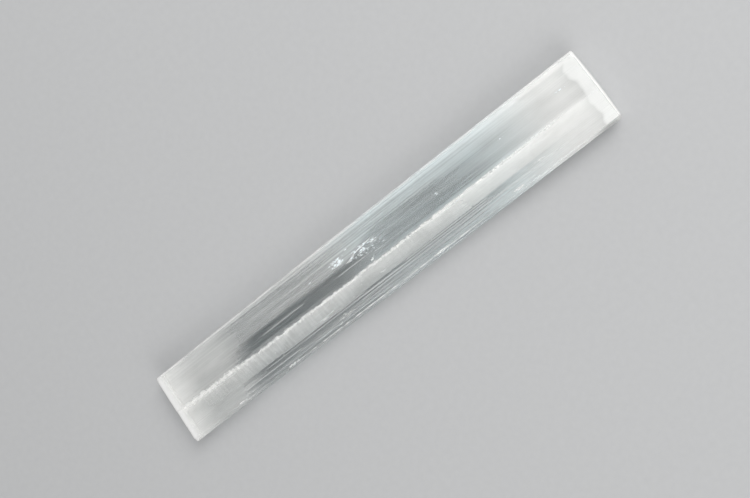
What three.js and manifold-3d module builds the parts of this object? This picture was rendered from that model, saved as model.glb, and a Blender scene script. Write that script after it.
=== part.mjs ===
// Selenite crystal blade: one lath of fibrous gypsum, split along its fibres and sawn across at both ends
// Millimetres. +X runs along the fibres to the square end, +Y across the blade, +Z out of its front face.
// The blade rests on its back face, at z = 0, and the origin is the middle of that face's outline.

import * as THREE from 'three';
import { LoftGeometry } from 'three/addons/geometries/LoftGeometry.js';
import { mergeVertices } from 'three/addons/utils/BufferGeometryUtils.js';
import Module from 'manifold-3d';

const { clamp, lerp, seededRandom, smoothstep } = THREE.MathUtils;

// Driving dimensions
const LENGTH = 248.4;
const WIDTH = 36.6;
const THICKNESS = 11;

// Outline seen from the front
const HALF_LENGTH = LENGTH / 2;
const HALF_WIDTH = WIDTH / 2;
const NEAR_END_SKEW = 2.9;
const SKEW_FADE_LENGTH = 40;
const FAR_END_BOW = 0.45;
const BOW_FADE_LENGTH = 12;
const UPPER_EDGE_TAPER = 1;
const TAPER_START = -20;
const END_ROUNDING = 0.9;

// Lines that run along the front face, by their place across the blade
const SHOULDER_Y = 15.35;
const CLEAR_BAND_TOP_Y = 5.3;
const SEAM_LOWEST_Y = -2.3;
const SEAM_CLIMB = 1;
const SEAM_NEAR_CLIMB = { from: 50, to: 115 };
const SEAM_FAR_CLIMB = { from: -10, to: 120 };
const SEAM_RAGGEDNESS = 0.5;
const VEIL_BOTTOM_Y = -9.25;
const ARRIS_Y = -16.45;

// Heights of those lines below the highest ridge of the front face
const SHOULDER_DROP = 0.15;
const UPPER_RIM_DROP = 0.6;
const SEAM_LEDGE_HEIGHT = 0.3;
const SEAM_LEDGE_WIDTH = 0.4;
const SEAM_LEDGE_END_HEIGHT = 0.05;
const SEAM_LEDGE_FADE = { from: 90, to: 118 };
const ARRIS_DROP = 0.4;
const BEVEL_DROP = 1.8;
const CORNER_WEDGE_START = 106.5;
const CORNER_WEDGE_DROP = 1.7;

// Rounding of the upper rim and of the edges that the blade rests on
const RIM_WIDTH = 0.8;
const RIM_HEIGHT = 1.3;
const BACK_CHAMFER = 0.7;
const SIDE_LEAN = 0.05;

// Back face: a flat land down the middle and a shallow spall along the upper edge
const LAND_HALF_WIDTH = 4.5;
const SPALL = { from: 18, to: 92, fade: 16, width: 4.8, step: 0.4, depth: 0.9 };

// Ridges and hollows on each side of the section: how many hollows, and how deep the deepest is
const FLUTES = {
	upperSide: { number: 1, count: 4, depth: 0.18 },
	shoulder: { number: 2, count: 1, depth: 0.06 },
	upperFront: { number: 3, count: 3, depth: 0.12 },
	clearBand: { number: 4, count: 2, depth: 0.08 },
	veilBand: { number: 5, count: 2, depth: 0.1 },
	striatedBand: { number: 6, count: 6, depth: 0.2 },
	bevel: { number: 7, count: 1, depth: 0.08 },
	lowerSide: { number: 8, count: 4, depth: 0.18 },
	lowerBack: { number: 9, count: 4, depth: 0.3 },
	upperBack: { number: 10, count: 3, depth: 0.3 },
};

// The loft has one ring for each station, set closer at the rounded ends
const STATION_SPACING = 5.9;
const END_STATIONS = [
	{ distance: 0, inset: END_ROUNDING },
	{ distance: 0.3, inset: 0.3 * END_ROUNDING },
	{ distance: 1, inset: 0 },
];

// Even noise between 0 and 1 for a numbered detail, the same on every run
function chance(number) {
	return seededRandom(1000 + 37 * number);
}

// Slow change along the blade, between 0 and 1, in its own rhythm for each numbered detail
function drift(x, number) {
	const slow = Math.sin(x / 41 + 6.3 * chance(number));
	const quick = Math.sin(x / 13 + 6.3 * chance(number + 0.5));
	return clamp(0.5 + 0.35 * slow + 0.25 * quick, 0, 1);
}

// Where the ragged seam lies across the blade: lowest left of the middle, with a climb towards each end
function seamY(x) {
	const nearClimb = smoothstep(-x, SEAM_NEAR_CLIMB.from, SEAM_NEAR_CLIMB.to);
	const farClimb = smoothstep(x, SEAM_FAR_CLIMB.from, SEAM_FAR_CLIMB.to);
	const crumbling = SEAM_RAGGEDNESS * (chance(Math.round(x) + 400) - 0.5);
	return SEAM_LOWEST_Y + SEAM_CLIMB * (nearClimb + farClimb) + crumbling;
}

// Height of the ledge at the seam, which dies out towards the square end
function ledgeHeight(x) {
	const fade = smoothstep(x, SEAM_LEDGE_FADE.from, SEAM_LEDGE_FADE.to);
	return lerp(SEAM_LEDGE_HEIGHT, SEAM_LEDGE_END_HEIGHT, fade);
}

// One side of the section between two corners, with uneven hollows between ridges that stay on the line
function flutedSide(from, to, { number, count, depth }, x) {
	const run = to.clone().sub(from);
	const inward = new THREE.Vector2(-run.y, run.x).normalize();
	const points = [from];
	for (let flute = 0; flute < count; flute += 1) {
		const detail = 20 * number + flute;
		const hollow = (flute + lerp(0.3, 0.7, chance(detail))) / count;
		const bite = depth * lerp(0.4, 1, chance(detail + 0.3)) * drift(x, detail);
		points.push(from.clone().addScaledVector(run, hollow).addScaledVector(inward, bite));
		if (flute < count - 1) {
			const ridge = (flute + lerp(0.88, 1.12, chance(detail + 0.7))) / count;
			points.push(from.clone().addScaledVector(run, ridge));
		}
	}
	return points;
}

// Depth of the spall on the back, which fades out at both of its ends
function spallDepth(x) {
	const rise = smoothstep(x, SPALL.from, SPALL.from + SPALL.fade);
	const fall = 1 - smoothstep(x, SPALL.to - SPALL.fade, SPALL.to);
	return SPALL.depth * rise * fall;
}

// Section across the blade, counter-clockwise as seen from the square end: x is across, y is up
function section(x) {
	const corner = (across, up) => new THREE.Vector2(across, up);
	const taper = UPPER_EDGE_TAPER * clamp((TAPER_START - x) / (TAPER_START + HALF_LENGTH), 0, 1);
	const upper = HALF_WIDTH - taper;
	const spall = spallDepth(x);
	const seam = seamY(x);
	const wedge = CORNER_WEDGE_DROP * smoothstep(x, CORNER_WEDGE_START, HALF_LENGTH);

	const backUpper = corner(upper - BACK_CHAMFER, spall);
	const upperSideFoot = corner(upper - SIDE_LEAN, spall + BACK_CHAMFER);
	const upperSideTop = corner(upper, THICKNESS - RIM_HEIGHT);
	const rimMiddle = corner(upper - 0.3 * RIM_WIDTH, THICKNESS - 0.65 * RIM_HEIGHT);
	const rimInner = corner(upper - RIM_WIDTH, THICKNESS - UPPER_RIM_DROP);
	const shoulder = corner(SHOULDER_Y, THICKNESS - SHOULDER_DROP);
	const crown = corner(CLEAR_BAND_TOP_Y, THICKNESS);
	const seamBrink = corner(seam + SEAM_LEDGE_WIDTH, THICKNESS);
	const seamFoot = corner(seam, THICKNESS - ledgeHeight(x));
	const veilBottom = corner(VEIL_BOTTOM_Y, THICKNESS - SEAM_LEDGE_HEIGHT);
	const arris = corner(ARRIS_Y, THICKNESS - ARRIS_DROP);
	const bevelFoot = corner(-HALF_WIDTH, THICKNESS - BEVEL_DROP - wedge);
	const lowerSideFoot = corner(-HALF_WIDTH + SIDE_LEAN, BACK_CHAMFER);
	const backLower = corner(-HALF_WIDTH + BACK_CHAMFER, 0);
	const landLower = corner(-LAND_HALF_WIDTH, 0);
	const landUpper = corner(LAND_HALF_WIDTH, 0);
	const spallFoot = corner(upper - SPALL.width, 0);
	const spallTop = corner(upper - SPALL.width + SPALL.step, 0.8 * spall);

	return [
		backUpper,
		...flutedSide(upperSideFoot, upperSideTop, FLUTES.upperSide, x),
		upperSideTop,
		rimMiddle,
		...flutedSide(rimInner, shoulder, FLUTES.shoulder, x),
		...flutedSide(shoulder, crown, FLUTES.upperFront, x),
		...flutedSide(crown, seamBrink, FLUTES.clearBand, x),
		seamBrink,
		...flutedSide(seamFoot, veilBottom, FLUTES.veilBand, x),
		...flutedSide(veilBottom, arris, FLUTES.striatedBand, x),
		...flutedSide(arris, bevelFoot, FLUTES.bevel, x),
		...flutedSide(bevelFoot, lowerSideFoot, FLUTES.lowerSide, x),
		lowerSideFoot,
		...flutedSide(backLower, landLower, FLUTES.lowerBack, x),
		landLower,
		...flutedSide(landUpper, spallFoot, FLUTES.upperBack, x),
		spallFoot,
		spallTop,
	];
}

// A section set in space at its station, drawn in by the inset of the rounded end
function ring(distance, inset) {
	const x = distance - HALF_LENGTH;
	const skewShare = clamp(1 - distance / SKEW_FADE_LENGTH, 0, 1);
	const bowShare = clamp(1 - (LENGTH - distance) / BOW_FADE_LENGTH, 0, 1);
	return section(x).map(({ x: across, y: up }) => {
		const skew = skewShare * NEAR_END_SKEW * (across + HALF_WIDTH) / WIDTH;
		const bow = bowShare * FAR_END_BOW * (across / HALF_WIDTH) ** 2;
		const y = across * (1 - inset / HALF_WIDTH);
		const z = THICKNESS / 2 + (up - THICKNESS / 2) * (1 - inset / (THICKNESS / 2));
		return new THREE.Vector3(x + skew - bow, y, z);
	});
}

// Rings from the skewed end to the square end
function blank() {
	const rings = END_STATIONS.map(({ distance, inset }) => ring(distance, inset));
	const count = Math.round(LENGTH / STATION_SPACING);
	for (let station = 1; station < count; station += 1) {
		const wander = 0.5 * (chance(station + 900) - 0.5);
		rings.push(ring(LENGTH * (station + wander) / count, 0));
	}
	for (const { distance, inset } of END_STATIONS.toReversed()) {
		rings.push(ring(LENGTH - distance, inset));
	}
	return new LoftGeometry(rings, { capStart: true, capEnd: true });
}

// A splinter pit: a long eight-sided bite, half of it in the surface, turned a little off the fibres
function pit({ x, y, length, width, depth, turn = 0, z = THICKNESS - 0.1 }) {
	const bite = new THREE.OctahedronGeometry(1);
	bite.scale(length / 2, width / 2, depth);
	bite.rotateZ(turn);
	bite.translate(x, y, z);
	return bite;
}

// Flakes broken out of the front face near the middle of the blade, with the splinters beside them
const FLAKES = [
	{ x: -17.8, y: 8.7, length: 5.4, width: 1.8, depth: 0.55, turn: 0.12 },
	{ x: -14.2, y: 7.9, length: 4.8, width: 1.5, depth: 0.5, turn: -0.1 },
	{ x: -18.6, y: 7.1, length: 3.4, width: 1.1, depth: 0.4 },
	{ x: -9.0, y: 5.7, length: 3.2, width: 1.1, depth: 0.4, turn: 0.2 },
	{ x: -7.4, y: 7.1, length: 6.2, width: 0.8, depth: 0.4 },
	{ x: -2.4, y: 7.7, length: 5.6, width: 0.7, depth: 0.4, turn: -0.06 },
	{ x: -3.6, y: 5.0, length: 3.6, width: 0.9, depth: 0.4 },
	{ x: 2.8, y: 6.6, length: 5, width: 0.8, depth: 0.4 },
	{ x: -1.5, y: -0.3, length: 2.4, width: 0.9, depth: 0.4, turn: 0.5 },
	{ x: -1.3, y: -7.75, length: 3.2, width: 0.6, depth: 0.55 },
];

// Long scallops split off the lower edge and the striated band above it
const EDGE_SPLINTERS = [
	{ x: 25.7, y: -16.5, length: 8.4, width: 1.2, depth: 0.6, z: THICKNESS - 0.5 },
	{ x: 69.7, y: -15.3, length: 8, width: 0.8, depth: 0.5, z: THICKNESS - 0.4 },
	{ x: 84.7, y: -10.9, length: 5.2, width: 0.7, depth: 0.5, z: THICKNESS - 0.3 },
	{ x: -61, y: -16.6, length: 7, width: 1, depth: 0.5, z: THICKNESS - 0.5 },
	{ x: -93, y: -16.3, length: 4.6, width: 0.9, depth: 0.5, z: THICKNESS - 0.4 },
];

// Nicks in the outline: one in the upper edge and a small step in the skewed end
const NICKS = [
	{ x: -103.3, y: HALF_WIDTH - 0.7, length: 2.8, width: 1.2, depth: 1.6, z: THICKNESS - 0.4 },
	{ x: -123.2, y: -0.8, length: 1.8, width: 1.6, depth: 1.4, turn: 0.4, z: THICKNESS },
];

// Crumbs lost along the seam, where the cleavage that crosses the blade meets the front face
const CRUMB_SPACING = 7.3;
const SEAM_END_X = 108;

function seamCrumbs() {
	const crumbs = [];
	for (let x = 3.2 - HALF_LENGTH; x < SEAM_END_X; x += CRUMB_SPACING) {
		const number = Math.round(x) + 700;
		crumbs.push({
			x: x + 0.6 * CRUMB_SPACING * chance(number),
			y: seamY(x) + 0.2,
			length: lerp(2.2, 4.6, chance(number + 0.2)),
			width: lerp(0.7, 1.2, chance(number + 0.4)),
			depth: lerp(0.35, 0.55, chance(number + 0.6)),
			turn: 0.8 * (chance(number + 0.8) - 0.5),
			z: THICKNESS - 0.15,
		});
	}
	return crumbs;
}

const wasm = await Module();
wasm.setup();

function toSolid(geometry) {
	const bare = new THREE.BufferGeometry();
	bare.setAttribute('position', geometry.attributes.position);
	bare.setIndex(geometry.index);
	const merged = mergeVertices(bare, 1e-4);
	return new wasm.Manifold(new wasm.Mesh({
		numProp: 3,
		vertProperties: new Float32Array(merged.attributes.position.array),
		triVerts: new Uint32Array(merged.index.array),
	}));
}

function toGeometry(solid) {
	const mesh = solid.getMesh();
	const geometry = new THREE.BufferGeometry();
	geometry.setAttribute('position', new THREE.Float32BufferAttribute(mesh.vertProperties, 3));
	geometry.setIndex([...mesh.triVerts]);
	geometry.computeVertexNormals();
	return geometry;
}

function bladeGeometry() {
	let solid = toSolid(blank());
	for (const bite of [...FLAKES, ...EDGE_SPLINTERS, ...NICKS, ...seamCrumbs()]) {
		solid = solid.subtract(toSolid(pit(bite)));
	}
	return toGeometry(solid);
}

// Clear to milky gypsum with a silky lustre
const gypsum = new THREE.MeshStandardMaterial({ color: 0xc9d2d4, roughness: 0.22, metalness: 0 });

const blade = new THREE.Mesh(bladeGeometry(), gypsum);
blade.name = 'selenite_blade';

const object = new THREE.Group();
object.add(blade);

export default object;
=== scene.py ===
# Selenite crystal blade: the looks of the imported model, in metres, in the model's own frame
import math

import bpy
import numpy as np
from mathutils import Matrix, Vector


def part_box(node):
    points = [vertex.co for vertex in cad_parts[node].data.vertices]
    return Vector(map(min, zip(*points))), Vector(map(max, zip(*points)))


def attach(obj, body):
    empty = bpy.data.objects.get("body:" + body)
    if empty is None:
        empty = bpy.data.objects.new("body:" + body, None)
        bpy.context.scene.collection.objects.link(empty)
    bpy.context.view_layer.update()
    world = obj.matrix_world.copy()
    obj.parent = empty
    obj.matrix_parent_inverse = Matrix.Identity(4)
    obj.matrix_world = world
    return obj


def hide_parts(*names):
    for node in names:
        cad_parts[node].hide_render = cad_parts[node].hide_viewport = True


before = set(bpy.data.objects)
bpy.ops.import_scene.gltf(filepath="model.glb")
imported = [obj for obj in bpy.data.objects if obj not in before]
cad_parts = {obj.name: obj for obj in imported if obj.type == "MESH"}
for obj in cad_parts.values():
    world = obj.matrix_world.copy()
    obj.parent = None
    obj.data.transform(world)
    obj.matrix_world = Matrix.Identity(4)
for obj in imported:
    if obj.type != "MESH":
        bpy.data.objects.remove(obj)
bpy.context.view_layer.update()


# The blade
# One lath of fibrous gypsum, clear as water in places, split from a vein along its fibres. That leaves the
# long faces finely fluted, with a low ledge at the seam, a spall on the back and flakes broken out of the
# front. Both ends are sawn across, one squarely and one a little askew.
MM = 0.001
box_low, box_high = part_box("selenite_blade")
length, width, thickness = (box_high - box_low) / MM
half_length = length / 2
half_width = width / 2

near_end_skew = 2.9
skew_fade_length = 40
far_end_bow = 0.45
bow_fade_length = 12
upper_edge_taper = 1.0
taper_start = -20

shoulder_y = 15.35
clear_band_top_y = 5.3
seam_lowest_y = -2.3
veil_bottom_y = -9.25
arris_y = -16.45
near_climb = (-50, -115)
far_climb = (-10, 120)

shoulder_drop = 0.15
upper_rim_drop = 0.6
ledge_height = 0.3
ledge_width = 0.4
ledge_fade = (90, 118)
flute_fade = (95, 114)
arris_drop = 0.4
bevel_drop = 1.8
wedge_start = 106.5
wedge_drop = 1.7
wedge_band = (-16.3, -17.2)
rim_width = 0.8
rim_height = 1.3
back_chamfer = 0.7
side_lean = 0.05
land_half_width = 4.5
spall_from, spall_to, spall_fade, spall_width, spall_depth = 18, 92, 16, 4.8, 0.9

# Flakes and splinters lost from the front: middle, length, width, depth and turn off the fibres
lost_flakes = [
    (-17.8, 8.7, 5.4, 1.8, 0.55, 0.12),
    (-14.2, 7.9, 4.8, 1.5, 0.50, -0.10),
    (-18.6, 7.1, 3.4, 1.1, 0.40, 0.0),
    (-9.0, 5.7, 3.2, 1.1, 0.40, 0.20),
    (-7.4, 7.1, 6.2, 0.8, 0.40, 0.0),
    (-2.4, 7.7, 5.6, 0.7, 0.40, -0.06),
    (-3.6, 5.0, 3.6, 0.9, 0.40, 0.0),
    (2.8, 6.6, 5.0, 0.8, 0.40, 0.0),
    (-1.5, -0.3, 2.4, 0.9, 0.40, 0.5),
    (-1.3, -7.75, 3.2, 0.6, 0.55, 0.0),
    (25.7, -16.5, 8.4, 1.2, 0.6, 0.0),
    (69.7, -15.3, 8.0, 0.8, 0.5, 0.0),
    (84.7, -10.9, 5.2, 0.7, 0.5, 0.0),
    (-61.0, -16.6, 7.0, 1.0, 0.5, 0.0),
    (-93.0, -16.3, 4.6, 0.9, 0.5, 0.0),
    (-103.3, 17.0, 2.8, 1.4, 0.7, 0.0),
]
# Icy bruises just under the front: middle, length, width, rise along the blade and whiteness
bruises = [
    (-15.8, 7.2, 8.4, 2.9, 0.0, 1.0),
    (-15.4, 9.1, 10.5, 1.4, 0.0, 0.8),
    (-9.2, 10.4, 3.2, 1.0, 0.0, 0.8),
    (-2.5, 7.0, 17.0, 1.0, 0.12, 0.8),
    (-2.5, 5.6, 5.6, 2.0, 0.0, 1.0),
    (3.6, 6.1, 4.6, 1.1, 0.0, 0.8),
    (-9.6, 4.9, 8.0, 1.3, 0.03, 0.6),
    (-1.4, -0.6, 4.4, 1.9, 0.2, 0.8),
    (-3.0, 4.4, 17.0, 3.6, 0.0, 0.34),
    (3.5, 3.4, 24.0, 11.0, 0.0, 0.15),
    (-32.0, 8.4, 2.0, 1.4, 0.0, 0.6),
    (-36.4, -9.1, 5.0, 1.1, 0.0, 0.9),
    (-31.8, -8.3, 6.0, 0.8, 0.0, 0.7),
    (-31.6, -15.3, 2.2, 1.2, 0.0, 1.0),
    (-1.4, -7.8, 5.0, 0.9, 0.0, 0.7),
    (-28.0, -13.6, 16.0, 3.4, 0.0, 0.3),
    (84.6, -10.9, 8.0, 1.2, 0.0, 0.8),
    (70.0, -15.4, 10.0, 1.5, 0.0, 0.9),
    (25.4, -16.6, 10.0, 1.2, 0.0, 0.9),
    (39.4, 5.0, 3.6, 2.4, -0.5, 0.5),
    (77.0, 7.0, 6.0, 0.8, 0.0, 0.4),
    (110.5, 7.7, 12.0, 0.9, 0.0, 0.5),
    (-117.0, -2.1, 7.0, 1.4, -0.85, 0.8),
    (-113.3, -2.5, 3.6, 1.8, 1.2, 0.8),
]


def rising(value, start, end):
    """0 below start, 1 above end, and a smooth rise between them."""
    share = np.clip((value - start) / (end - start), 0, 1)
    return share * share * (3 - 2 * share)


def grain(along, across, cell_length, cell_width, seed):
    """Smooth noise from 0 to 1, in cells that long and that wide."""
    cells = 97
    first_cell = 50
    lattice = np.random.default_rng(seed).random((cells, cells))
    u, v = np.broadcast_arrays(along / cell_length + first_cell, across / cell_width + first_cell)
    column, row = np.floor(u).astype(int), np.floor(v).astype(int)
    u, v = rising(u - column, 0, 1), rising(v - row, 0, 1)
    left, right = column % cells, (column + 1) % cells
    bottom, top = row % cells, (row + 1) % cells
    lower = lattice[left, bottom] * (1 - u) + lattice[right, bottom] * u
    upper = lattice[left, top] * (1 - u) + lattice[right, top] * u
    return lower * (1 - v) + upper * v


def seam_height(x):
    """Where the ragged seam lies across the blade: lowest left of the middle, and higher at each end."""
    climb = rising(x, *near_climb) + rising(x, *far_climb)
    crumbling = 0.6 * (grain(x, 0 * x, 2.6, 1, 11) - 0.5) + 0.5 * (grain(x, 0 * x, 0.9, 1, 12) - 0.5)
    return seam_lowest_y + climb + crumbling * (1 - 0.6 * rising(x, -75, -35))


def taper_at(x):
    """How much narrower the blade is at a place along it."""
    return upper_edge_taper * np.clip((taper_start - x) / (taper_start + half_length), 0, 1)


def skew_at(x, y):
    """How far the skewed near end moves a point along the blade."""
    fade = np.clip(1 - (x + half_length) / skew_fade_length, 0, 1)
    return near_end_skew * (y + half_width) / width * fade


# Stations along the blade, closer together at the rounded ends and where the flakes are lost. The ends are
# given as distance from the end and how much smaller the section is there.
end_rounding = [(0, 0.9), (0.12, 0.55), (0.3, 0.27), (0.6, 0.08), (1.0, 0)]
plain_step, flaked_step = 0.95, 0.42
flaked_from, flaked_to = half_length - 23.0, half_length + 7.0
near_gap, far_gap = 1.8, 1.4
middle = np.concatenate([
    np.arange(near_gap, flaked_from, plain_step),
    np.arange(flaked_from, flaked_to, flaked_step),
    np.arange(flaked_to, length - far_gap, plain_step),
])
near_stations = [distance for distance, inset in end_rounding]
far_stations = [length - distance for distance in reversed(near_stations)]
distances = np.array([*near_stations, *middle, *far_stations])
near_insets = [inset for distance, inset in end_rounding]
insets = np.array([*near_insets, *(0 * middle), *reversed(near_insets)])
station_x = distances - half_length


def corner(across, up):
    """One corner of the section at every station."""
    return np.stack(np.broadcast_arrays(across, up, station_x)[:2], axis=-1).astype(float)


def fluted(start, end, count, depth=0.0, pitch=1.2, reach=55.0, seed=0):
    """Points from one corner of the section to the next: hollows between ridges that lie on the line."""
    share = np.arange(count) / count
    run = end - start
    size = np.hypot(run[:, 0], run[:, 1])[:, None]
    inward = np.stack([-run[:, 1], run[:, 0]], axis=-1) / size
    place = share * size.mean()
    rolling = grain(station_x[:, None], place[None], reach, pitch, seed)
    split = 1 - abs(2 * grain(station_x[:, None], place[None], 0.8 * reach, 0.7 * pitch, seed + 1) - 1)
    bite = depth * (0.6 * rolling + 0.4 * split ** 3) * np.clip(9 * np.minimum(share, 1 - share), 0, 1)
    return start[:, None] + share[None, :, None] * run[:, None] + bite[..., None] * inward[:, None]


upper = half_width - taper_at(station_x)
spall = spall_depth * rising(station_x, spall_from, spall_from + spall_fade)
spall *= 1 - rising(station_x, spall_to - spall_fade, spall_to)
wedge = wedge_drop * rising(station_x, wedge_start, half_length)
seam = seam_height(station_x)

back_upper = corner(upper - back_chamfer, spall)
upper_side_foot = corner(upper - side_lean, spall + back_chamfer)
upper_side_top = corner(upper, thickness - rim_height)
rim_middle = corner(upper - 0.3 * rim_width, thickness - 0.65 * rim_height)
rim_inner = corner(upper - rim_width, thickness - upper_rim_drop)
shoulder = corner(shoulder_y, thickness - shoulder_drop)
crown = corner(clear_band_top_y, thickness)
seam_brink = corner(seam + ledge_width, thickness)
seam_foot = corner(seam, thickness - ledge_height * (1 - rising(station_x, *ledge_fade)))
veil_bottom = corner(veil_bottom_y, thickness - ledge_height)
arris = corner(arris_y, thickness - arris_drop)
bevel_foot = corner(-half_width, thickness - bevel_drop - wedge)
lower_side_foot = corner(-half_width + side_lean, back_chamfer)
back_lower = corner(-half_width + back_chamfer, 0)
land_lower = corner(-land_half_width, 0)
land_upper = corner(land_half_width, 0)
spall_foot = corner(upper - spall_width, 0)
spall_top = corner(upper - spall_width + 0.4, 0.8 * spall)

fluting = 1 - rising(station_x, *flute_fade)[:, None]

# Each side of the section: from, to, how many points, the depth of its flutes, their pitch and reach, and
# a seed
front_sides = [
    fluted(rim_inner, shoulder, 10, 0.08, 1.1, 50, 21),
    fluted(shoulder, crown, 44, 0.14, 2.4, 80, 23),
    fluted(crown, seam_brink, 30, 0.1 * fluting, 2.2, 90, 25),
    fluted(seam_brink, seam_foot, 4),
    fluted(seam_foot, veil_bottom, 30, 0.12 * fluting, 1.9, 60, 27),
    fluted(veil_bottom, arris, 42, 0.22, 1.2, 75, 29),
    fluted(arris, bevel_foot, 9, 0.12, 0.8, 30, 31),
]
front = np.concatenate(front_sides, axis=1)
bruised = np.zeros(front.shape[:2])
for flake_x, flake_y, flake_length, flake_width, flake_depth, turn in lost_flakes:
    over_x, over_y = station_x[:, None] - flake_x, front[..., 0] - flake_y
    lengthwise = over_x * math.cos(turn) + over_y * math.sin(turn)
    crosswise = over_y * math.cos(turn) - over_x * math.sin(turn)
    inside = 1 - abs(lengthwise) / (flake_length / 2) - abs(crosswise) / (flake_width / 2)
    front[..., 1] -= flake_depth * np.clip(1.4 * inside, 0, 1)
    bruised = np.maximum(bruised, np.clip(1.1 * inside + 0.3, 0, 0.8))
for bruise_x, bruise_y, bruise_length, bruise_width, rise, whiteness in bruises:
    over_x = station_x[:, None] - bruise_x
    over_y = front[..., 0] - bruise_y - rise * over_x
    inside = 1 - abs(over_x) / (bruise_length / 2) - abs(over_y) / (bruise_width / 2)
    bruised = np.maximum(bruised, whiteness * np.clip(2 * inside, 0, 1))

upper_sides = np.concatenate([
    fluted(back_upper, upper_side_foot, 3),
    fluted(upper_side_foot, upper_side_top, 26, 0.28, 1.3, 45, 33),
    fluted(upper_side_top, rim_middle, 3),
    fluted(rim_middle, rim_inner, 3),
], axis=1)
section = np.concatenate([
    upper_sides,
    front,
    fluted(bevel_foot, lower_side_foot, 26, 0.28, 1.3, 45, 35),
    fluted(lower_side_foot, back_lower, 3),
    fluted(back_lower, land_lower, 26, 0.35, 1.8, 60, 37),
    fluted(land_lower, land_upper, 8),
    fluted(land_upper, spall_foot, 20, 0.35, 1.8, 60, 39),
    fluted(spall_foot, spall_top, 3),
    fluted(spall_top, back_upper, 10, 0.1, 1.0, 30, 41),
], axis=1)
across, up = section[..., 0], section[..., 1]
front_from, front_to = upper_sides.shape[1], upper_sides.shape[1] + front.shape[1]
bruised_points = np.zeros(section.shape[:2])
bruised_points[:, front_from:front_to] = bruised
bow_fade = np.clip(1 - (length - distances) / bow_fade_length, 0, 1)[:, None]
bow = bow_fade * far_end_bow * (across / half_width) ** 2
blade_points = np.stack([
    station_x[:, None] + skew_at(station_x[:, None], across) - bow,
    across * (1 - insets[:, None] / half_width),
    thickness / 2 + (up - thickness / 2) * (1 - insets[:, None] / (thickness / 2)),
], axis=-1)


def make_piece(name, points, faces):
    """A mesh piece from points in millimetres, with smooth shading."""
    mesh = bpy.data.meshes.new(name)
    mesh.from_pydata((np.asarray(points).reshape(-1, 3) * MM).tolist(), [], faces)
    mesh.shade_smooth()
    piece = bpy.data.objects.new(name, mesh)
    bpy.context.scene.collection.objects.link(piece)
    return piece


def grid_faces(rows, columns, closed):
    """Four-sided faces between the points of a grid, whose rows may close on themselves."""
    last_column = columns if closed else columns - 1
    row, column = np.meshgrid(np.arange(rows - 1), np.arange(last_column), indexing="ij")
    following = (column + 1) % columns
    corners = [row * columns + column, row * columns + following]
    corners += [(row + 1) * columns + following, (row + 1) * columns + column]
    return np.stack(corners, axis=-1).reshape(-1, 4).tolist()


ring_count, ring_size = blade_points.shape[:2]
near_cap = list(range(ring_size))[::-1]
far_cap = list(range((ring_count - 1) * ring_size, ring_count * ring_size))
blade_faces = grid_faces(ring_count, ring_size, True) + [near_cap, far_cap]
blade = make_piece("blade_body", blade_points, blade_faces)
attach(blade, "root")
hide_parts("selenite_blade")
for name, values in (("bruised", bruised_points), ("below_seam", seam[:, None] - across)):
    kept_values = blade.data.attributes.new(name, "FLOAT", "POINT")
    kept_values.data.foreach_set("value", values.ravel())


class Link:
    """A value that a shader node gives. Arithmetic on it adds Math nodes to the same finish."""

    def __init__(self, finish, socket):
        self.finish = finish
        self.socket = socket

    def math(self, operation, *values):
        return self.finish.node("Math", {"operation": operation}, dict(enumerate(values)))

    def __add__(self, other):
        return self.math("ADD", self, other)

    def __sub__(self, other):
        return self.math("SUBTRACT", self, other)

    def __rsub__(self, other):
        return self.math("SUBTRACT", other, self)

    def __mul__(self, other):
        return self.math("MULTIPLY", self, other)

    def __truediv__(self, other):
        return self.math("DIVIDE", self, other)

    def __pow__(self, other):
        return self.math("POWER", self, other)

    def __abs__(self):
        return self.math("ABSOLUTE", self)

    def at_least(self, other):
        return self.math("MAXIMUM", self, other)

    def at_most(self, other):
        return self.math("MINIMUM", self, other)

    __radd__ = __add__
    __rmul__ = __mul__


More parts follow.
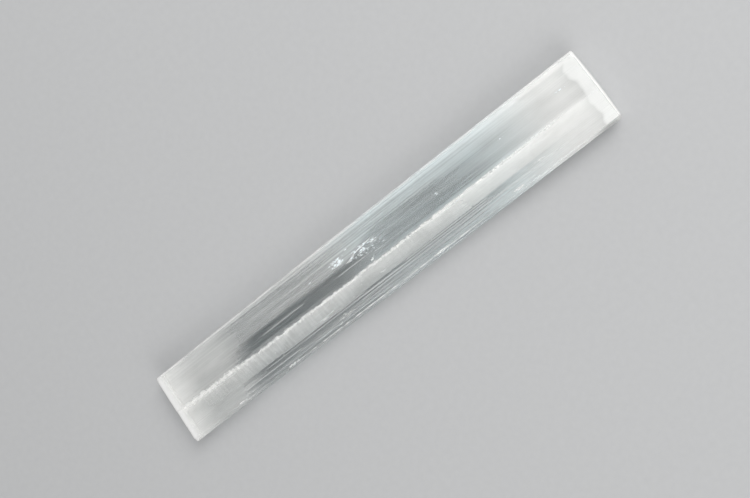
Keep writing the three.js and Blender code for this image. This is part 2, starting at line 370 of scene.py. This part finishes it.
class Finish:
    """One material, whose nodes are added from Python."""

    def __init__(self, name):
        self.material = bpy.data.materials.new(name)
        self.material.use_nodes = True
        self.tree = self.material.node_tree
        self.tree.nodes.clear()
        place = self.node("TexCoord", output="Object")
        self.x, self.y, self.z = (self.node("SeparateXYZ", {}, {0: place}, axis) / MM for axis in "XYZ")

    def node(self, kind, settings=None, inputs=None, output=None):
        made = self.tree.nodes.new("ShaderNode" + kind)
        for name, value in (settings or {}).items():
            setattr(made, name, value)
        for name, value in (inputs or {}).items():
            named = (socket for socket in made.inputs if socket.name == name and socket.enabled)
            socket = made.inputs[name] if isinstance(name, int) else next(named)
            if isinstance(value, Link):
                self.tree.links.new(value.socket, socket)
            else:
                socket.default_value = value
        shown = (socket for socket in made.outputs if socket.enabled and output in (None, socket.name))
        return Link(self, next(shown))

    def rising(self, value, start, end, low=0.0, high=1.0):
        """Low before start, high after end, and a smooth rise between them."""
        ends = {"Value": value, "From Min": start, "From Max": end, "To Min": low, "To Max": high}
        return self.node("MapRange", {"interpolation_type": "SMOOTHSTEP"}, ends)

    def near(self, value, place, reach, core, low=0.0, high=1.0):
        """High within core of a place, and low beyond reach of it."""
        return self.rising(abs(value - place), reach, core, low, high)

    def lozenge(self, middle_x, middle_y, reach_x, reach_y):
        """0 in the middle of a lozenge and 1 at its border."""
        return abs(self.x - middle_x) / reach_x + abs(self.y - middle_y) / reach_y

    def noise(self, x, y, z, detail=2.0):
        vector = self.node("CombineXYZ", {}, {0: x, 1: y, 2: z})
        return self.node("TexNoise", {}, {"Vector": vector, "Scale": 1.0, "Detail": detail})

    def patched(self, patch_length, patch_width, layer, detail=2.0):
        """Noise in patches that long and that wide, the same at every depth."""
        return self.noise(self.x / patch_length, self.y / patch_width, layer, detail)

    def flecks(self, fleck_length, fleck_width, layer, detail=3.0):
        """Noise mostly between -1 and 1: its usual spread about 0.5 is drawn out."""
        usual_spread = 0.07
        return (self.patched(fleck_length, fleck_width, layer, detail) - 0.5) / usual_spread

    def streaks(self, reach, pitch, offset=0.0, detail=2.0):
        """Noise drawn out along the fibres."""
        return self.noise(self.x / reach + offset, self.y / pitch, self.z / pitch, detail)

    def stretched(self, noise, low=0.0, high=1.0):
        """Noise drawn out from its usual range to run from low to high."""
        return self.rising(noise, 0.3, 0.7, low, high)

    def kept(self, name):
        """A value kept at the points of the mesh."""
        return self.node("Attribute", {"attribute_name": name}, output="Fac")

    def tint(self, share, low, high):
        """A colour between two. The first may be one that another node gives."""
        start = low if isinstance(low, Link) else (*low, 1)
        return self.node("Mix", {"data_type": "RGBA"}, {"Factor": share, "A": start, "B": (*high, 1)})

    def opaque(self, colour, roughness, relief=None):
        inputs = {"Base Color": colour, "Roughness": roughness}
        if relief:
            inputs["Normal"] = relief
        return self.node("BsdfPrincipled", {}, inputs)

    def mix(self, share, first, second):
        return self.node("MixShader", {}, {0: share, 1: first, 2: second})

    def sheer(self, opacity, surface):
        """A surface seen in part, with nothing in its place elsewhere."""
        return self.mix(opacity, self.node("BsdfTransparent"), surface)

    def cover(self, piece, surface, volume=None):
        output = self.tree.nodes.new("ShaderNodeOutputMaterial")
        self.tree.links.new(surface.socket, output.inputs["Surface"])
        if volume:
            self.tree.links.new(volume.socket, output.inputs["Volume"])
        piece.data.materials.append(self.material)


def from_near_end(finish):
    """How far a point lies from the skewed near end."""
    return finish.x + half_length - near_end_skew * (finish.y + half_width) / width


crystal = Finish("clear_gypsum")
front_z = (9.3, 10.0)
on_front = crystal.rising(crystal.z, *front_z)

# The sawn ends are chalk white, and at the near end the white reaches over onto the front
to_far_end = half_length - crystal.x
sawn = crystal.rising(to_far_end, 4.5 - 2.9 * on_front, 1.7 - 1.1 * on_front)
sawn = sawn.at_least(crystal.rising(from_near_end(crystal), 2.0 + 4.5 * on_front, 1.0))

# A white rim along the upper edge, a painted highlight on the rounded edge, and the broken white line
# along the lower arris
narrowing = crystal.rising(crystal.x, taper_start, -half_length)
rim = crystal.rising(crystal.y + narrowing, 16.5, 17.8) * crystal.rising(crystal.z, 8.6, 9.6)
rim = rim * crystal.rising(crystal.streaks(12, 2, 3), 0.4, 0.56, 0.3, 0.6)
arris_line = crystal.near(crystal.y, arris_y - 0.25, 0.34, 0.1) * on_front
arris_line = arris_line * crystal.rising(crystal.noise(crystal.x / 6, 4, 9, 4), 0.42, 0.56, 0.2, 0.9)
arris_line = arris_line * crystal.near(crystal.x, -2, 62, 38, 0.3)

# The ragged seam: how far a point lies below it, and the white beads that hang from it
bead_length, bead_width, bead_layer, bead_share = 1.4, 0.85, 5, 0.33
below_seam = crystal.kept("below_seam")
beads = crystal.flecks(bead_length, bead_width, bead_layer)
hanging = crystal.rising(below_seam, crystal.rising(crystal.x, -44, -85, 1.6, 2.6), 0.3)
standing_up = crystal.rising(crystal.x, -70, -95, 0, 0.4)
seam_white = crystal.rising(bead_share * beads + hanging, 0.72, 1.0) * on_front
seam_white = seam_white * crystal.rising(below_seam + standing_up, -0.7, -0.25)
seam_white = seam_white * crystal.rising(below_seam, 3, 2)
seam_white = seam_white * crystal.rising(crystal.noise(crystal.x / 5, 0, 8, 2), 0.42, 0.52, 0.25, 1)
seam_white = seam_white * crystal.rising(crystal.x, 118, 30, 0, 0.72)

# Icy bruises, broken into splinters along the fibres
splinters = crystal.flecks(1.4, 0.4, 1)
bruise = crystal.kept("bruised")
icy = crystal.rising(bruise + 0.34 * splinters, 0.42, 0.95) * crystal.rising(bruise, 0.02, 0.2) * on_front

# Fine scratches and splits: where each starts and ends, its place across the blade where it starts, its
# rise and how white it is
scratches = [
    (-68, -37, 2.5, 0, 0.45),
    (-23, 1, 2.5, 0, 0.36),
    (-45, -28, -8.5, 0, 0.4),
    (-66, -10, -10.05, 0, 0.5),
    (6, 60, -10.15, 0, 0.5),
    (-78, 60, -11.1, 0, 0.45),
    (-20, 100, -12.3, 0, 0.4),
    (-92, -50, -13.15, 0, 0.5),
    (-60, 70, -14.0, 0, 0.34),
    (-80, -46, -15.4, 0, 0.3),
    (-2, 40, 13.4, 0, 0.2),
    (-11, 5.5, 5.95, 0.124, 0.95),
    (-13.4, -8.6, 5.05, 0.03, 0.8),
    (-10, -6.8, 5.2, 0.26, 0.7),
    (1.6, 5.6, 6.15, -0.02, 0.8),
    (-6.6, -4.8, 5.0, -0.75, 0.6),
    (-10.8, -7.4, 10.35, 0, 0.6),
]
longest_fade = 6
fine_lines = crystal.rising(crystal.flecks(100, 0.45, 3, 1), -0.2, 1.8)
below_veil = crystal.rising(crystal.y, -8.9, -9.5) * crystal.rising(crystal.x, 110, 70, 0.3, 1)
scratched = fine_lines * (0.02 + 0.12 * below_veil)
for scratch_from, scratch_to, scratch_y, rise, whiteness in scratches:
    fade = min(longest_fade, (scratch_to - scratch_from) / 3)
    scratch = crystal.near(crystal.y - rise * (crystal.x - scratch_from), scratch_y, 0.26, 0.12)
    scratch = scratch * crystal.rising(crystal.x, scratch_from, scratch_from + fade)
    scratch = scratch * crystal.rising(crystal.x, scratch_to, scratch_to - fade)
    scratched = scratched.at_least(scratch * whiteness)

# Specks round the icy cluster and low on the front, and faint scuffs all over it
specks = crystal.rising(crystal.flecks(0.8, 0.4, 6, 2), 1.2, 2.2)
round_cluster = crystal.rising(crystal.lozenge(4, 5, 24, 12), 1, 0.3)
low_patch = crystal.rising(crystal.lozenge(-34, -12.5, 24, 6), 1, 0.4)
specked = specks * (0.14 * round_cluster).at_least(0.2 * low_patch)
scuffed = crystal.rising(crystal.streaks(24, 0.9, 5, 4), 0.58, 0.72, 0, 0.08)
marked = specked.at_least(scuffed).at_least(scratched) * on_front

# Silky streaks on the two long sides
facing = crystal.node("SeparateXYZ", {}, {0: crystal.node("TexCoord", output="Normal")}, "Y")
silky_side = crystal.rising(abs(facing), 0.6, 0.92)
silky_side = silky_side * crystal.stretched(crystal.streaks(45, 0.7, 6, 4), 0.25, 0.8)

# Relief too fine for the mesh: threads along the fibres, the marks of the saw, beads and splinters
saw_marks = crystal.noise(crystal.x / 0.2, crystal.y / 0.35, crystal.z / 0.35, 4)
height = crystal.streaks(90, 0.5, 0, 3) + 0.5 * crystal.streaks(30, 1.6, 7, 2)
height = height + 0.35 * sawn * (1 - on_front) * saw_marks
height = height + 0.06 * seam_white * beads + 0.06 * icy * splinters
relief = crystal.node("Bump", {}, {"Height": height, "Distance": 0.05 * MM, "Strength": 0.5})

# Clear stone with chalk white where it is broken. Shadow rays pass, so that lamps light the white inside.
clear = crystal.node("BsdfPrincipled", {}, {
    "Base Color": (0.975, 0.985, 0.985, 1),
    "Roughness": crystal.stretched(crystal.streaks(60, 1.1, 2, 3), 0.03, 0.1),
    "IOR": 1.52,
    "Transmission Weight": 1.0,
    "Normal": relief,
})
bluish = icy * crystal.rising(crystal.y, -1, 1)
# On the bevel of the wedge at the far end the chalk is painted a darker grey: painted shade, as that bevel
# faces down and away from the lamps.
in_wedge = crystal.rising(crystal.y, *wedge_band) * crystal.rising(crystal.x, 108, 118)
chalk_colour = crystal.tint(bluish, (0.85, 0.85, 0.84), (0.86, 0.92, 0.95))
chalk_colour = crystal.tint(in_wedge, chalk_colour, (0.66, 0.66, 0.65))
chalk = crystal.opaque(chalk_colour, 0.55, relief)
whitened = sawn
for white_part in (rim, arris_line, seam_white, icy, marked, silky_side):
    whitened = whitened.at_least(white_part)
stone = crystal.mix(whitened, clear, chalk)
shadow_ray = crystal.node("LightPath", output="Is Shadow Ray")
smoke = crystal.node("VolumeAbsorption", {}, {"Color": (0.7, 0.72, 0.725, 1), "Density": 160.0})
crystal.cover(blade, crystal.mix(shadow_ray, stone, crystal.node("BsdfTransparent")), smoke)


# The cleavage
# A flat crack that runs the length of the blade and dips from the front face to the back. Air in it makes
# it a white veil, densest where it meets the front: that edge has crumbled into the ragged seam.
veil_rows = 12
veil_step = 0.6
veil_end_gap = 1.2
veil_top_z = 10.4
veil_dip = 4.4
veil_roll = 0.5
below_veil_bottom = 2.2
veil_x = np.arange(-half_length + veil_end_gap, half_length - 1.0, veil_step)
veil_share = np.linspace(0, 1, veil_rows) ** 1.3
veil_top = seam_height(veil_x)[:, None]
veil_y = veil_top + (veil_bottom_y - below_veil_bottom - veil_top) * veil_share
veil_rolling = veil_roll * (grain(veil_x[:, None], veil_y, 9, 3, 51) - 0.5)
veil_z = veil_top_z - veil_dip * veil_share + veil_rolling
near_limit = -half_length + veil_end_gap + near_end_skew * (veil_y + half_width) / width
veil_points = np.stack([np.maximum(veil_x[:, None], near_limit), veil_y, veil_z], axis=-1)
veil = make_piece("cleavage_veil", veil_points, grid_faces(len(veil_x), veil_rows, False))
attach(veil, "root")

cleavage = Finish("white_cleavage")
far_rise = cleavage.rising(cleavage.x, *far_climb)
seam_line = cleavage.rising(cleavage.x, *near_climb, seam_lowest_y, seam_lowest_y + 1) + far_rise
below_seam = seam_line - cleavage.y

# Crumbled along the seam, with a softer edge towards the far end
beads = cleavage.flecks(bead_length, bead_width, bead_layer)
crumbled = cleavage.rising(bead_share * beads + cleavage.rising(below_seam, 1.9, 0.3), 0.66, 1.0)
crumbled = crumbled * cleavage.rising(below_seam, -0.4, 0.1) * cleavage.rising(cleavage.x, 116, 60)
soft_edge = cleavage.rising(below_seam, 0, cleavage.rising(cleavage.x, 70, 110, 1.3, 3))
soft_edge = soft_edge.at_least(cleavage.rising(cleavage.x, 90, 30))

# Hairs across the veil, denser and thinner patches, and a toothed lower edge
hairs = cleavage.patched(1.3, 9, 0, 3)
patches = cleavage.patched(14, 5, 4, 3)
haired = cleavage.rising(cleavage.x, -10, -60, 0.08, 0.2)
haze = cleavage.rising(cleavage.x, 15, 60, 0.67, 0.85) + cleavage.near(cleavage.x, -34, 20, 5, 0, 0.06)
haze = haze * (1 + haired * (cleavage.stretched(hairs) - 0.7))
haze = haze * cleavage.stretched(patches, 0.88, 1.06)
haze = haze * cleavage.rising(below_seam, 7.4, 4, 0.9, 1)
teeth = 1.2 * (cleavage.noise(cleavage.x / 1.6, 3, 0, 2) - 0.5)
above_bottom = cleavage.y - (veil_bottom_y - 0.5) - far_rise - teeth
softness = cleavage.rising(cleavage.x, -75, -100, 0.3, 1.5)
haze = haze * cleavage.rising(above_bottom, 0 - softness, softness) * soft_edge
opacity = haze.at_least(crumbled).at_most(1)
white = cleavage.opaque(cleavage.tint(patches, (0.96, 0.95, 0.92), (0.99, 0.985, 0.97)), 0.6)
cleavage.cover(veil, cleavage.sheer(opacity, white))


# The milk
# Silky haze where the fibres don't quite touch, in three layers from just under the front to near the
# back. It leaves a clear band above the seam and thickens towards the far end. The saw bruised both ends
# white.
milk_rows, milk_columns = 240, 74
milk_side_gap = 0.35
milk_x = np.linspace(-half_length + 0.9, half_length - 0.6, milk_rows)
milk_y = np.linspace(-half_width + milk_side_gap, half_width - milk_side_gap, milk_columns)
below_front = 0.75
ledge_top_y, ledge_foot_y = -1.75, -2.15
front_profile = [
    (-half_width, thickness - bevel_drop),
    (arris_y, thickness - arris_drop),
    (veil_bottom_y, thickness - ledge_height),
    (ledge_top_y, thickness),
    (clear_band_top_y, thickness),
    (shoulder_y, thickness - shoulder_drop),
    (half_width - rim_width, thickness - upper_rim_drop),
    (half_width, thickness - 1.2),
]
# How much each layer rolls, its height above the back (the first follows the front instead), its share of
# the haze and how white its bruised far end is
milk_layers = [
    ("milk_front", 0.25, None, 0.62, 0.85),
    ("milk_middle", 0.4, 6.2, 0.25, 0.5),
    ("milk_back", 0.8, 2.6, 0.13, 0.5),
]
for number, (name, rolling, layer_z, share, bruise_white) in enumerate(milk_layers):
    grid_x, grid_y = np.meshgrid(milk_x, milk_y, indexing="ij")
    squeezed_y = grid_y - taper_at(grid_x) * (grid_y + half_width) / width
    if layer_z is None:
        on_ledge = np.clip((grid_y - veil_bottom_y) / (ledge_top_y - veil_bottom_y), 0, 1)
        on_ledge = on_ledge * rising(-grid_y, -ledge_top_y, -ledge_foot_y)
        in_wedge = rising(grid_x, wedge_start, half_length) * rising(grid_y, arris_y, -half_width)
        layer_z = np.interp(grid_y, *zip(*front_profile)) - below_front
        layer_z -= ledge_height * on_ledge * (1 - rising(grid_x, *ledge_fade))
        layer_z -= wedge_drop * in_wedge
    layer_z = layer_z + rolling * (grain(grid_x, grid_y, 60, 2.6, 61 + number) - 0.5)
    points = np.stack([grid_x + skew_at(grid_x, grid_y), squeezed_y, layer_z], axis=-1)
    layer = make_piece(name, points, grid_faces(milk_rows, milk_columns, False))
    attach(layer, "root")

    milk = Finish(name)
    upper_part = milk.rising(milk.y, 3.5, 7)
    veil_band = milk.rising(milk.y, -9.5, -8.9) * milk.rising(milk.y, -1.0, -2.4)
    below_veil = milk.rising(milk.y, -8.8, -9.8)
    strands = milk.patched(110, 0.7, number * 3.1)
    clouds = milk.patched(26, 6, number * 2.3, 3)
    scallops = 8 * (milk.patched(30, 8, 4 + 0.15 * number, 1) - 0.5)

    # Cloudy above the clear band, which is wider towards the far end, and paler in a patch near the middle
    clear_top = clear_band_top_y + 5.6 * milk.rising(milk.x + 0.6 * milk.y, -12, 16)
    shoulder_line = milk.near(milk.y, shoulder_y - 0.2, 0.7, 0.2) * milk.rising(milk.x, 60, 10)
    cloudy = 0.34 * milk.rising(milk.y - clear_top, -1.3, 1.5) * (1 - 0.5 * shoulder_line)
    pale_patch = milk.rising(milk.x + 0.6 * (milk.y - 14), -27, -20) * milk.rising(milk.x, 4, -12)
    cloudy = cloudy + 0.11 * pale_patch * milk.rising(milk.y, 8.5, 11.5)
    in_middle = milk.rising(milk.x, -52, -16, 0, 0.13) * milk.rising(milk.x, 70, 0, 0.3, 1)
    cloudy = cloudy + in_middle * milk.rising(milk.y, -2.2, -1.2) * milk.rising(milk.y, 12.5, 10, 0.3, 1)
    cloudy = cloudy + milk.rising(milk.y, 15.0, 15.6) * milk.rising(milk.x, -60, 70, 0.18, 0.3)

    # A glow along the seam, stripes below the veil and a pale strip along the bevel
    seam_glow = milk.near(milk.y, -1.6, 1.9, 0.3) * milk.rising(milk.x, 35, 65, 0.26, 0.42)
    lines = milk.rising(milk.patched(150, 0.5, number * 1.7, 1), 0.44, 0.62)
    striped = milk.rising(milk.x, -50, 30, 0, 0.05) + lines * milk.rising(milk.x, -85, 20, 0.04, 0.12)
    striped = striped * below_veil * milk.rising(milk.y, -10, -11.6, 0.3, 1)
    striped = striped * (1 - 0.6 * milk.near(milk.x, -66, 22, 8))
    bevel_strip = 0.2 * milk.rising(milk.y, -16.0, -16.7)
    across_haze = cloudy.at_least(seam_glow) + striped + bevel_strip

    # An even pale haze over the near end, with a ragged border
    ragged_x = milk.x - 0.25 * milk.y + 14 * (milk.patched(60, 1.3, 6) - 0.5)
    near_haze = milk.rising(ragged_x, -70 + 16 * upper_part, -89 - 11 * upper_part)
    less_in_veil = 0.3 * milk.rising(milk.y, -2, -4.5) - 0.2 * milk.rising(milk.y, -7, -11)
    near_haze = near_haze * (0.56 + 0.1 * upper_part - less_in_veil)
    across_haze = across_haze.at_least(near_haze)

    # Mottled round the icy cluster, and denser over the veil towards the far end
    round_cluster = milk.rising(milk.lozenge(4, 3.5, 15, 8), 1.1, 0.4)
    mottling = round_cluster * milk.stretched(milk.patched(3, 1.6, 9, 3), 0, 0.22)
    across_haze = across_haze.at_least(mottling)
    over_veil = veil_band * (0.16 + 0.2 * milk.rising(milk.y, -5, -2.6)) * milk.rising(milk.x, 20, 70)
    across_haze = across_haze + over_veil * (1 - across_haze)

    # Milkier step by step along the blade, and uneven in strands and clouds
    along_haze = milk.rising(milk.x, -22, 4, 0, 0.26)
    along_haze = along_haze * (1 - 0.35 * below_veil * milk.rising(milk.x, 85, 50))
    along_haze = along_haze + milk.rising(milk.x, 34, 78, 0, 0.3) + milk.rising(milk.x, 60, 112, 0, 0.22)
    stranded = milk.rising(milk.x, 45, 95, 0.34, 0.05)
    stranded = stranded * milk.rising(milk.x - 30 * upper_part, -95, -60, 0.25, 1)
    stranded = stranded * (1 - 0.8 * milk.near(milk.y, -5.6, 4.2, 3.2))
    stranded = stranded * (1 - 0.8 * milk.near(milk.y, 5.4, 1.8, 0.6))
    uneven = 1 + stranded * (milk.stretched(strands) - 0.5) * 2
    uneven = uneven * milk.stretched(clouds, 0.88, 1.12)
    clearness = (1 - across_haze) * (1 - along_haze)
    opacity = 1 - clearness ** (share * uneven)

    # White where the saw bruised the ends, with a scalloped border. Below the arris at the far end that
    # white is
    # thinned: painted shade on the bevel, which faces down and away from the lamps.
    far_bruise = milk.rising(milk.x + scallops, half_length - 11.5, half_length - 5.5)
    far_bruise = far_bruise * milk.rising(milk.y, -17.2, -16.4, 0.3, 1)
    near_bruise = milk.rising(from_near_end(milk) + scallops, 20, 0, 0, 0.5)
    painted_wedge_shade = 0.42 * milk.rising(milk.y, *wedge_band) * milk.rising(milk.x, 104, 116)
    opacity = opacity.at_least(bruise_white * far_bruise)
    opacity = opacity + near_bruise * (1 - opacity)
    opacity = opacity * (1 - painted_wedge_shade)

    # Faintly blue in the middle of the blade, outside the veil
    bluish = milk.rising(milk.x, -35, 10) * milk.rising(milk.x, 105, 60)
    bluish = bluish * milk.stretched(clouds, 0.7, 1) * (1 - 0.7 * veil_band)
    colour = milk.tint(bluish, (0.975, 0.965, 0.945), (0.87, 0.95, 0.96))
    colour = milk.tint(far_bruise, colour, (0.89, 0.885, 0.87))
    milk.cover(layer, milk.sheer(opacity, milk.opaque(colour, 0.7)))


# The silk
# Bundles of fibres that catch the light, lying along the blade at every depth. There are few of them in
# the clear band, in the veil and just below it.
chance = np.random.default_rng(7)
thread_count = 1500
thread_steps = 7
threads_low, threads_high = -17.4, 16.6
sparse_low, veil_low, clear_low, clear_high = -11.2, -9.4, -1.5, 5.5
silk_end_gap = 4
threads = []
for _ in range(thread_count):
    across_place = chance.uniform(threads_low, threads_high)
    in_clear_band = clear_low < across_place < clear_high
    in_veil = veil_low < across_place < clear_low
    under_veil = sparse_low < across_place <= veil_low
    left_out = 0.8 if in_clear_band or under_veil else 0.7 if in_veil else 0
    if chance.random() < left_out:
        continue
    reach = chance.uniform(12, 70)
    start = chance.uniform(-half_length + silk_end_gap, half_length - silk_end_gap - reach)
    highest = 3.2 if in_veil else 9.9
    threads.append((start, reach, across_place, chance.uniform(1.2, highest), chance.uniform(0.08, 0.26)))
thread_points, thread_faces = [], []
for start, reach, across_place, up_place, thread_width in threads:
    share = np.linspace(0, 1, thread_steps)
    spread = thread_width / 2 * np.sin(np.pi * np.clip(share, 0.04, 0.96)) ** 0.5
    lean = chance.uniform(-0.9, 0.9)
    sway = 0.12 * np.sin(share * chance.uniform(2, 6) + chance.uniform(0, 6))
    first = len(thread_points) * thread_steps
    for side in (-spread, spread):
        over = across_place + sway + side * math.cos(lean)
        up = up_place + side * math.sin(lean)
        thread_points.append(np.stack([start + share * reach, over, up], axis=-1))
    for step in range(thread_steps - 1):
        corners = (step, step + 1, thread_steps + step + 1, thread_steps + step)
        thread_faces.append([first + place for place in corners])
silk = make_piece("silk_threads", np.concatenate(thread_points), thread_faces)
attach(silk, "root")

thread = Finish("silk")
glint = thread.streaks(22, 0.5)
dark_part = thread.near(thread.x, -66, 22, 8) * thread.rising(thread.y, -8.8, -9.6)
opacity = thread.stretched(glint, 0.08, 0.5) * (1 - 0.85 * dark_part)
white = thread.opaque(thread.tint(glint, (0.88, 0.9, 0.9), (0.97, 0.97, 0.96)), 0.45)
thread.cover(silk, thread.sheer(opacity, white))


# The crumbs and icy flakes
# Loose grains of gypsum held along the seam, and thin lifted flakes under each scar of the front face. Air
# behind them makes them bright white.
crumbs_from, crumbs_to, crumb_step = -half_length + 2.5, 70, 0.62
crumb_top_z, flake_top_z, low_flake_top_z = 10.3, 10.1, 9.6
low_flake_y = -14
flakes_per_mm = 4
crumb_points, crumb_faces = [], []


def add_grain(middle, size, turn, tilt):
    """A small lozenge with six points."""
    first = len(crumb_points)
    spin = Matrix.Rotation(turn, 3, "Z") @ Matrix.Rotation(tilt, 3, "X")
    for axis in range(3):
        for sign in (-1, 1):
            point = Vector((0, 0, 0))
            point[axis] = sign * size[axis] / 2
            crumb_points.append(tuple(Vector(middle) + spin @ point))
    for a in (0, 1):
        for b in (2, 3):
            for c in (4, 5):
                corners = [first + a, first + b, first + c]
                flipped = (a + b + c) % 2 == 0
                crumb_faces.append(corners[::-1] if flipped else corners)


for place in np.arange(crumbs_from, crumbs_to, crumb_step):
    if chance.random() < 0.45 + 0.25 * math.sin(place / 7) + 0.35 * math.sin(place / 2.3):
        continue
    size = (chance.uniform(0.5, 1.7), chance.uniform(0.25, 0.7), chance.uniform(0.2, 0.5))
    hangs_at = float(seam_height(np.array(place))) - chance.uniform(0.0, 0.6)
    middle = (place, hangs_at, crumb_top_z - chance.uniform(0, 0.5))
    add_grain(middle, size, chance.uniform(-0.9, 0.9), chance.uniform(-0.5, 0.5))
for flake_x, flake_y, flake_length, flake_width, flake_depth, turn in lost_flakes:
    top_z = low_flake_top_z if flake_y < low_flake_y else flake_top_z
    for _ in range(int(flakes_per_mm * flake_length)):
        along, over = chance.uniform(-0.5, 0.5, 2)
        middle = (
            flake_x + along * flake_length,
            flake_y + over * flake_width * (1 - abs(along)) + along * flake_length * math.tan(turn),
            top_z - chance.uniform(0, 0.5),
        )
        size = (chance.uniform(0.5, 1.8), chance.uniform(0.2, 0.6), 0.12)
        add_grain(middle, size, turn + chance.uniform(-0.4, 0.4), chance.uniform(-0.6, 0.6))
crumbs_piece = make_piece("seam_crumbs", crumb_points, crumb_faces)
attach(crumbs_piece, "root")

ice = Finish("icy_white")
mottle = ice.streaks(1.2, 0.5)
white = ice.opaque(ice.tint(mottle, (0.9, 0.93, 0.95), (0.99, 0.99, 0.99)), 0.3)
ice.cover(crumbs_piece, ice.sheer(ice.rising(mottle, 0.3, 0.6, 0.45, 0.95), white))


# The floor, the lights and the camera
# A plain pale floor, a large soft lamp beyond the upper edge and the far end, a weaker one on the lower
# side and an even bright room. The camera looks down on the front face as the photograph does.
floor_reach = 2500
floor_x = (-floor_reach, floor_reach, floor_reach, -floor_reach)
floor_y = (-floor_reach, -floor_reach, floor_reach, floor_reach)
floor = make_piece("floor", [(x, y, 0) for x, y in zip(floor_x, floor_y)], [[0, 1, 2, 3]])
floor.location.z = -0.15 * MM
paper = Finish("pale_floor")
speckle = paper.patched(3, 3, 0, 4)
paper.cover(floor, paper.opaque(paper.tint(speckle, (0.50, 0.505, 0.51), (0.54, 0.545, 0.55)), 0.85))

world = bpy.data.worlds.new("soft_room")
world.use_nodes = True
background = world.node_tree.nodes["Background"]
background.inputs["Color"].default_value = (1, 1, 1, 1)
background.inputs["Strength"].default_value = 0.48
bpy.context.scene.world = world


def add_lamp(name, place, size, power):
    """A square soft lamp that points at the blade."""
    lamp = bpy.data.lights.new(name, "AREA")
    lamp.size = size
    lamp.energy = power
    lamp_object = bpy.data.objects.new(name, lamp)
    lamp_object.location = place
    lamp_object.rotation_euler = (-Vector(place)).to_track_quat("-Z", "Y").to_euler()
    bpy.context.scene.collection.objects.link(lamp_object)


add_lamp("soft_key", (0.75, 0.5, 0.9), 0.8, 9.5)
add_lamp("soft_fill", (0.05, -1.0, 0.8), 0.8, 5.0)

camera_tilt = math.radians(13.24)
camera_azimuth = math.radians(-7.69)
picture_up_azimuth = math.radians(51.73)
camera_reach = 563.1 * MM
camera_target = Vector((2.1, 2.3, thickness)) * MM
toward_camera = Vector((
    math.sin(camera_tilt) * math.cos(camera_azimuth),
    math.sin(camera_tilt) * math.sin(camera_azimuth),
    math.cos(camera_tilt),
))
picture_up = Vector((math.cos(picture_up_azimuth), math.sin(picture_up_azimuth), 0))
picture_right = picture_up.cross(toward_camera).normalized()
turned = Matrix((picture_right, toward_camera.cross(picture_right), toward_camera)).transposed().to_4x4()
lens = bpy.data.cameras.new("camera")
lens.sensor_width = 36
lens.lens = 60
camera = bpy.data.objects.new("camera", lens)
camera.matrix_world = Matrix.Translation(camera_target + camera_reach * toward_camera) @ turned
bpy.context.scene.collection.objects.link(camera)
bpy.context.scene.camera = camera

cycles = bpy.context.scene.cycles
cycles.max_bounces = 40
cycles.diffuse_bounces = 16
cycles.glossy_bounces = 24
cycles.transmission_bounces = 32
cycles.transparent_max_bounces = 64
cycles.use_denoising = True
bpy.context.scene.view_settings.view_transform = "Standard"
